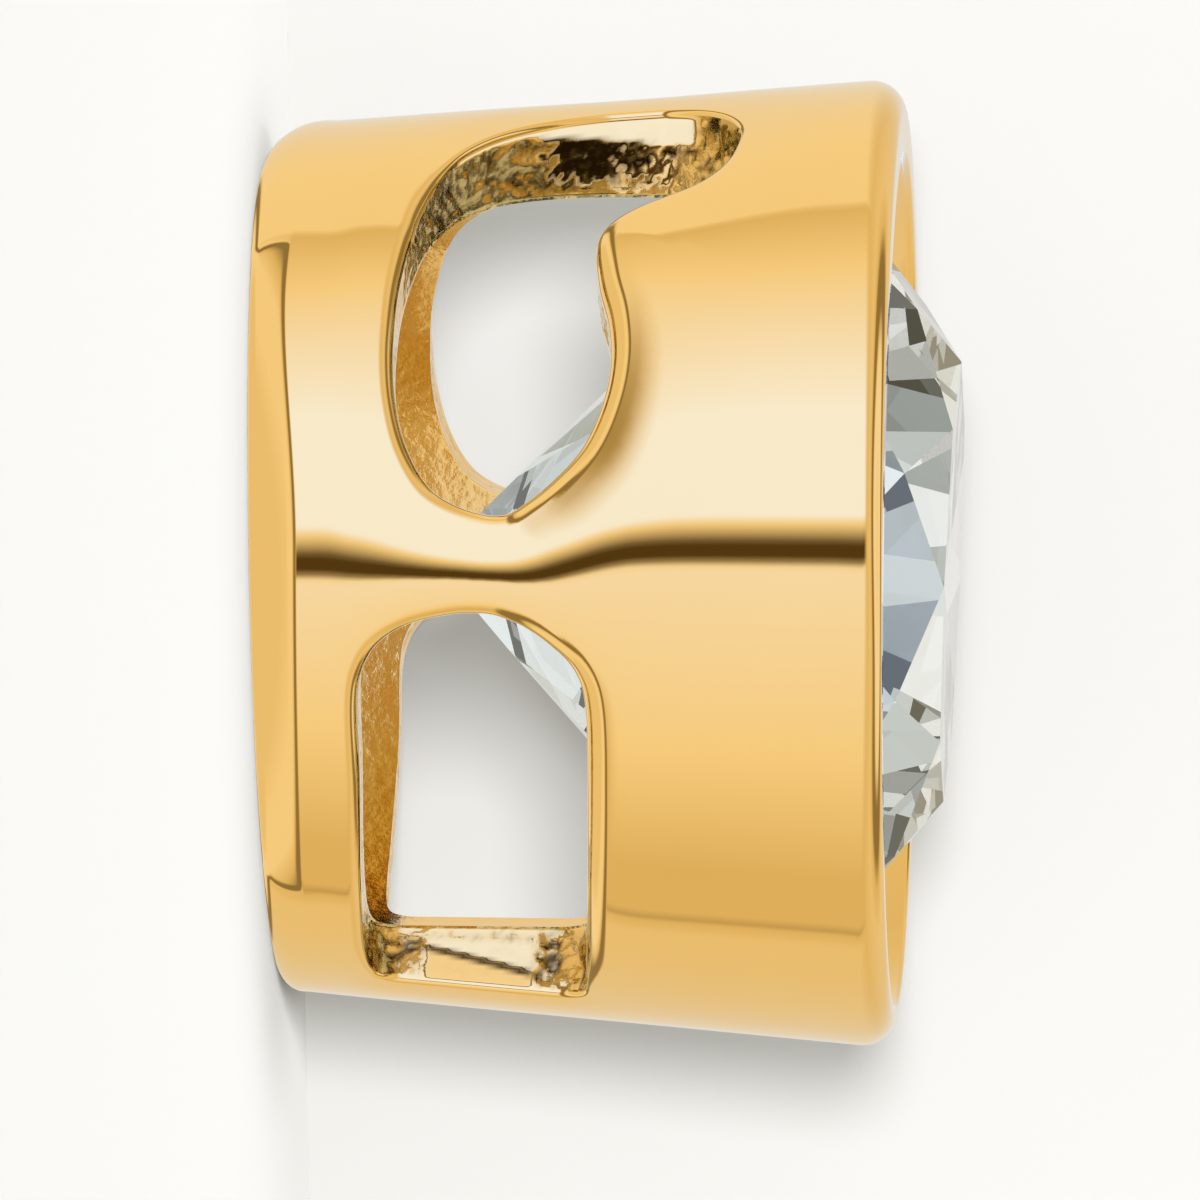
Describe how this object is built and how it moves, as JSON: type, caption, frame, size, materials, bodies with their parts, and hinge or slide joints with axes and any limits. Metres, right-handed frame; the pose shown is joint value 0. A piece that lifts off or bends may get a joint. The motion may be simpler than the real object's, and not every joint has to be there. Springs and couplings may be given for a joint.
{
  "type": "slide pendant",
  "caption": "Polished gold drum-shaped slide pendant with an open back, side openings for a chain, and a round brilliant-cut clear stone in its front.",
  "frame": {"origin": "middle of the drum's back rim, on the plane that the rim lies in", "axes": "+Z out of the open back towards the stone, +Y towards the side with the chain openings, +X along the chain's way through the drum"},
  "size_m": [0.008, 0.008, 0.0058],
  "materials": {
    "gold": "yellow gold, mirror polished outside, as cast on the cut faces and inside",
    "stone": "colourless faceted stone, polished"
  },
  "bodies": {
    "root": {"setting": "gold", "stone": "stone"}
  },
  "joints": []
}
